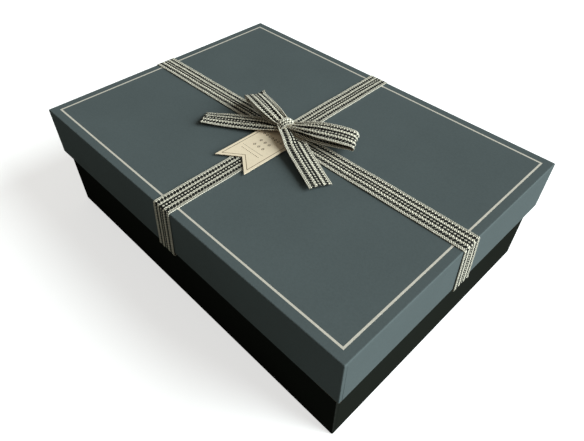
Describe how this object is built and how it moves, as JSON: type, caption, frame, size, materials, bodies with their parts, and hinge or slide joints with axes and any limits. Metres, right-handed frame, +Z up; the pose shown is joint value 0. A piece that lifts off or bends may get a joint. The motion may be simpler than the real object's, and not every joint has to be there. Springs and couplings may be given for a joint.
{
  "type": "gift box",
  "caption": "Two-piece rigid gift box with a wrapped lift-off lid, a foil border line, crossed woven ribbon bands, a tied bow and a swallow-tailed card tag.",
  "frame": {"origin": "centre of the box's underside, on the surface that it stands on", "axes": "+X along the box's length, +Y across it towards the back, away from the tag, and +Z up out of the lid"},
  "size_m": [0.2772, 0.2012, 0.0965],
  "materials": {
    "lid_paper": "matt slate blue-grey wrapping paper",
    "lid_lining": "matt slate blue-grey paper inside the lid",
    "base_paper": "matt black wrapping paper",
    "base_lining": "matt black lining paper",
    "greyboard": "raw greyboard",
    "corner_paper": "raw kraft paper",
    "foil": "satin champagne foil",
    "ribbon": "woven cream and black ribbon with corded edges",
    "tag_card": "uncoated cream card with a thin printed border"
  },
  "bodies": {
    "base": {"base_floor_board": "greyboard", "base_front_board": "greyboard", "base_back_board": "greyboard", "base_left_board": "greyboard", "base_right_board": "greyboard", "base_corner_stays": "corner_paper", "base_side_wrap": "base_paper", "base_bottom_sheet": "base_paper", "base_floor_lining": "base_lining", "base_wall_lining": "base_lining"},
    "lid": {"lid_top_board": "greyboard", "lid_front_board": "greyboard", "lid_back_board": "greyboard", "lid_left_board": "greyboard", "lid_right_board": "greyboard", "lid_corner_stays": "corner_paper", "lid_wrap": "lid_paper", "lid_lining": "lid_lining", "foil_border": "foil", "ribbon_lengthwise": "ribbon", "ribbon_crosswise": "ribbon", "bow_left_loop": "ribbon", "bow_right_loop": "ribbon", "bow_left_tail": "ribbon", "bow_right_tail": "ribbon", "bow_knot": "ribbon"},
    "tag": {"tag_card": "tag_card"}
  },
  "joints": [
    {"name": "lid_lift", "type": "slide", "parent": "base", "child": "lid", "axis": [0, 0, 1], "range_m": [0, 0.1]},
    {"name": "tag_swing", "type": "hinge", "parent": "lid", "child": "tag", "pos_m": [-0.002, 0.0005, 0.0855], "axis": [0, 0, 1], "range_deg": [-30, 30]}
  ]
}
